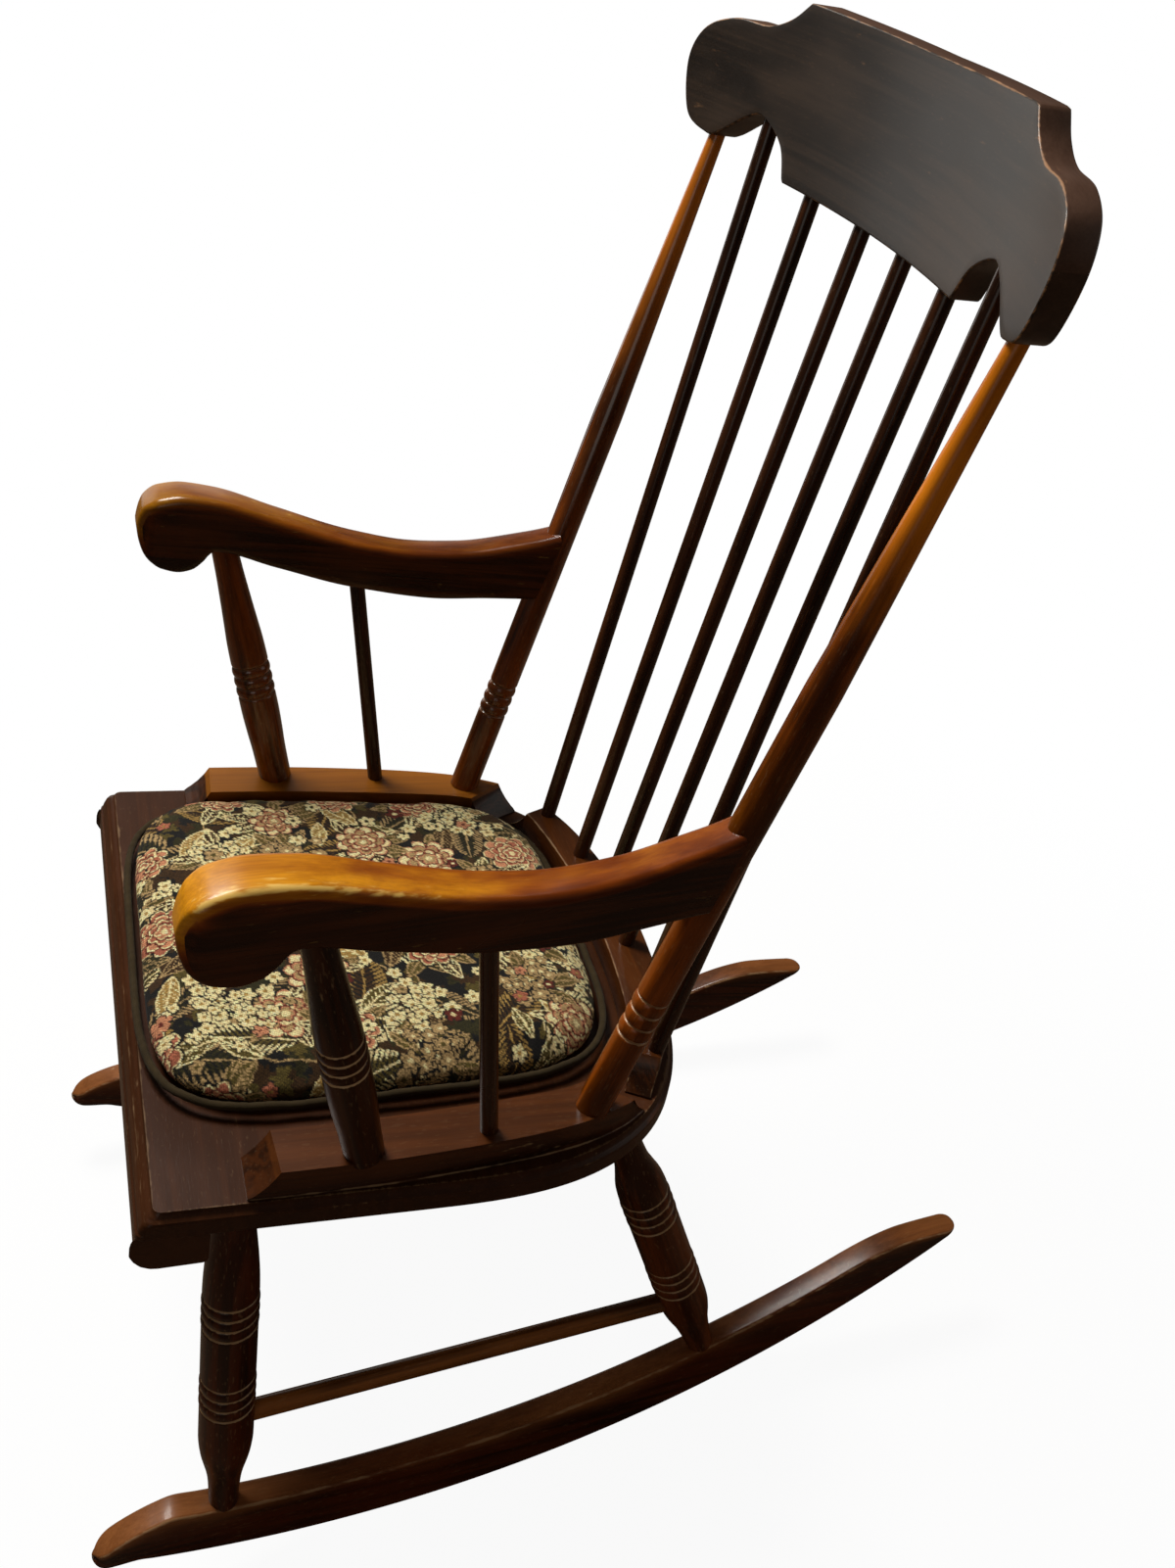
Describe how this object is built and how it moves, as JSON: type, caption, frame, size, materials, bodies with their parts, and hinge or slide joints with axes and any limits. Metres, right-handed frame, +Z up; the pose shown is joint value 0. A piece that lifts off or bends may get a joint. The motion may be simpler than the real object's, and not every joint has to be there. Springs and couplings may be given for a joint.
{
  "type": "rocking chair",
  "caption": "Spindle-back rocking chair with a shaped crest rail, scrolled arms, turned legs on long rockers and a loose tapestry seat pad.",
  "frame": {"origin": "on the floor, at the middle of the chair's bounding box in X and Y", "axes": "+Z up, -Y the way the sitter faces, +X the sitter's left side"},
  "size_m": [0.5944, 0.7538, 1.077],
  "materials": {
    "seat_wood": "gloss walnut stain",
    "rail_wood": "gloss walnut stain",
    "turned_wood": "gloss walnut stain",
    "spindle_wood": "gloss dark walnut stain",
    "crest_wood": "semi-gloss walnut stain",
    "arm_wood": "gloss honey-worn walnut stain",
    "leg_wood": "gloss walnut stain",
    "plain_wood": "unfinished",
    "pad_cloth": "coarse jacquard weave",
    "piping_cloth": "woven olive-brown cord"
  },
  "bodies": {
    "root": {"arm_dowel_left": "plain_wood", "arm_dowel_right": "plain_wood", "arm_left": "arm_wood", "arm_post_left": "turned_wood", "arm_post_right": "turned_wood", "arm_right": "arm_wood", "arm_spindle_left": "spindle_wood", "arm_spindle_right": "spindle_wood", "back_post_left": "turned_wood", "back_post_right": "turned_wood", "back_rail": "rail_wood", "back_spindle_1": "spindle_wood", "back_spindle_2": "spindle_wood", "back_spindle_3": "spindle_wood", "back_spindle_4": "spindle_wood", "back_spindle_5": "spindle_wood", "back_spindle_6": "spindle_wood", "crest_rail": "crest_wood", "leg_front_left": "leg_wood", "leg_front_right": "leg_wood", "leg_rear_left": "leg_wood", "leg_rear_right": "leg_wood", "rocker_left": "leg_wood", "rocker_right": "leg_wood", "seat": "seat_wood", "seat_front_roll": "seat_wood", "seat_pad": "pad_cloth", "seat_pad_piping": "piping_cloth", "side_rail_left": "rail_wood", "side_rail_right": "rail_wood", "stretcher_left": "leg_wood", "stretcher_right": "leg_wood"}
  },
  "joints": []
}
